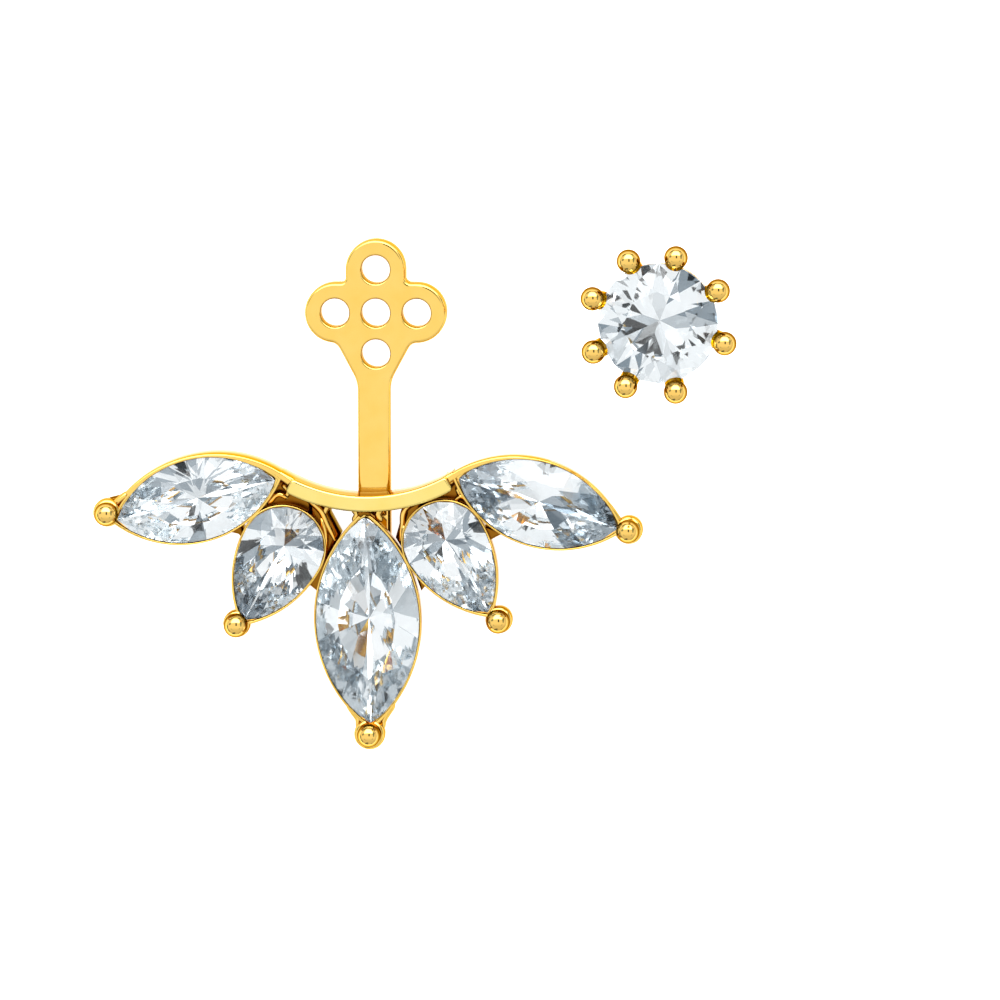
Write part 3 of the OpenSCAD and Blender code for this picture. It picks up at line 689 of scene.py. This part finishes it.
# The plate with its five holes, and the strap below it
def clover_plate():
    left = [(-x, y) for x, y in plate_side(-1)]
    points = plate_side(1) + left[::-1][1:]
    bm = bmesh.new()
    backs, fronts = loft(bm, [(offset_outline(points, g), z) for z, g in plate_profile(PLATE_EDGE)], False)
    for hole in HOLES:
        low, high = loft(bm, [(circle(hole, HOLE_R - g), z) for z, g in plate_profile(HOLE_EDGE)], False)
        backs += low
        fronts += high
    for edges in (backs, fronts):
        bmesh.ops.triangle_fill(bm, edges=edges, use_beauty=True)
    piece("clover_plate", bm, "jacket_frame")


# Point of the stud by its turn, distance from the axis and height, in metres
def stud_point(turn, r, z):
    return Vector((*at(STUD, r, turn), z)) * MM


# Leaning wires that end in a ball each
def stud_claws():
    wires, balls = bmesh.new(), bmesh.new()
    for turn in CLAWS:
        foot, head = stud_point(turn, CLAW_FOOT_R, BASE_Z), stud_point(turn, CLAW_RING_R, CLAW_BALL_Z)
        lean = (head - foot).to_track_quat("Z", "Y").to_matrix().to_4x4()
        bmesh.ops.create_cone(wires, cap_ends=True, segments=CLAW_SIDES, radius1=CLAW_WIRE_R * MM,
                              radius2=CLAW_NECK_R * MM, depth=(head - foot).length,
                              matrix=Matrix.Translation((foot + head) / 2) @ lean)
        add_ball(balls, head, CLAW_BALL_R, CLAW_BALL_SIDES)
    carve(piece("stud_claws", wires, "stud_setting"), ["stud_stone"])
    piece("stud_claw_balls", balls, "stud_setting", BALL_GOLD_WITH_PAINTED_SHADE)


# Ring that ties the claws together below the stone
def stud_gallery():
    bm = bmesh.new()
    verts = [bm.verts.new(stud_point(0, r, z))
             for r, z in circle((GALLERY_R, GALLERY_Z), GALLERY_WIRE, WIRE_STEPS)]
    edges = [bm.edges.new((v, verts[(i + 1) % WIRE_STEPS])) for i, v in enumerate(verts)]
    bmesh.ops.spin(bm, geom=verts + edges, cent=stud_point(0, 0, 0), axis=(0, 0, 1), angle=2 * pi,
                   steps=SPIN_STEPS, use_merge=True, use_duplicate=False)
    piece("stud_gallery", bm, "stud_setting")


def stud_base_and_post():
    bm = bmesh.new()
    turned_form(bm, STUD, BASE_R, BASE_PROFILE)
    turned_form(bm, STUD, STUD_POST_R, STUD_POST_PROFILE, STUD_POST_STEPS)
    piece("stud_base_and_post", bm, "stud_setting")


# Finishes of the solids that stay in view, the stones and the ear nut
def finish_nodes():
    side = foiled_crystal("foiled_crystal_side_stones", GIRDLE_Z, "#A6AFB6")
    centre = foiled_crystal("foiled_crystal_centre_stone", GIRDLE_Z, "#C8CED2")
    stud = foiled_crystal("foiled_crystal_round_stone", STUD_GIRDLE_Z, "#8A969F")
    finishes = {"centre_marquise": centre, "left_wing_marquise": side, "right_wing_marquise": side,
                "left_pear": side, "right_pear": side, "stud_stone": stud, "ear_nut": GOLD}
    for name, finish in finishes.items():
        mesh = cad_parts[name].data
        mesh.materials.clear()
        mesh.materials.append(finish)


# Level table just under the part
def lay_floor():
    bm = bmesh.new()
    bmesh.ops.create_grid(bm, x_segments=1, y_segments=1, size=FLOOR_HALF * MM)
    floor = new_object("floor", bm)
    floor.location.z = -FLOOR_DROP * MM
    floor.data.materials.append(pale_floor())


# A white tent: soft all round, brighter where its lamp stands above the part's upper end, with a slot
# for the lens and dim folds near the table
def light_tent():
    world = bpy.data.worlds.new("light_tent")
    bpy.context.scene.world = world
    world.use_nodes = True
    tree = world.node_tree
    tree.nodes.clear()
    way = add_node(tree, "ShaderNodeTexCoord").outputs["Generated"]
    axes = add_node(tree, "ShaderNodeSeparateXYZ", {"Vector": way}).outputs
    x, y, z = axes["X"], axes["Y"], axes["Z"]

    def without(value):
        return calculate(tree, "SUBTRACT", 1.0, value)

    def times(a, b):
        return calculate(tree, "MULTIPLY", a, b)

    def window(value, middle, half, blur):
        off_middle = calculate(tree, "ABSOLUTE", calculate(tree, "SUBTRACT", value, middle))
        return without(soft_step(tree, off_middle, half, half + blur))

    up = calculate(tree, "MAXIMUM", z, HORIZON)
    above = calculate(tree, "GREATER_THAN", z, 0.0)
    across, along = calculate(tree, "DIVIDE", x, up), calculate(tree, "DIVIDE", y, up)
    slot = times(times(window(across, *SLOT_ACROSS), window(along, *SLOT_ALONG)), above)
    lamp = times(times(window(across, *LAMP_ACROSS), window(along, *LAMP_ALONG)), above)
    folds = without(soft_step(tree, noise(tree, way, FOLD_SCALE, 0.0), *FOLD_RANGE))
    folds = times(folds, without(soft_step(tree, z, *FOLD_TOP)))
    level = calculate(tree, "ADD", TENT_LEVEL, times(soft_step(tree, y, *TENT_RISE_RANGE), TENT_RISE))
    level = calculate(tree, "ADD", level, times(lamp, LAMP_GAIN))
    level = times(level, without(times(slot, SLOT_DARK)))
    colour = mix(tree, folds, linear("#FFFFFF"), linear("#84929B"))
    background = add_node(tree, "ShaderNodeBackground", {
        "Color": colour, "Strength": times(level, TENT_STRENGTH)})
    add_node(tree, "ShaderNodeOutputWorld", {"Surface": background.outputs["Background"]})


# The photo's view: from far off, steeply down, and a little from the right and the part's upper end
def aim_camera():
    data = bpy.data.cameras.new("camera")
    data.sensor_width = SENSOR
    data.lens = FOCAL_PX * SENSOR / PICTURE_PX
    data.clip_start, data.clip_end = (distance * MM for distance in CAMERA_CLIP)
    camera = bpy.data.objects.new("camera", data)
    bpy.context.scene.collection.objects.link(camera)
    camera.matrix_world = Matrix.Translation(Vector(CAMERA_PLACE) * MM) @ Matrix(CAMERA_TURN).to_4x4()
    bpy.context.scene.camera = camera


collar()
for wing_name in WINGS:
    wing_rim(wing_name)
for stone_name in STONES:
    cup(stone_name)
    ball_and_post(stone_name)
for web_name, web_shape in WEBS.items():
    web(web_name, *web_shape)
for bead_name, bead_shape in BEADS.items():
    bead(bead_name, *bead_shape)
# painted shade: the bead under the collar takes the dark gold of the hollows
bead("centre_tip_solder", *TIP_SOLDER, PAINTED_SHADE_HOLLOW_GOLD)
clover_plate()
stud_claws()
stud_gallery()
stud_base_and_post()
for tool in ROOMS.values():
    bpy.data.objects.remove(tool)
finish_nodes()
lay_floor()
light_tent()
aim_camera()
bpy.context.scene.view_settings.view_transform = "Standard"
# light turns round many times inside a cut stone before it leaves
light_paths = bpy.context.scene.cycles
light_paths.max_bounces, light_paths.glossy_bounces, light_paths.transmission_bounces = BOUNCES
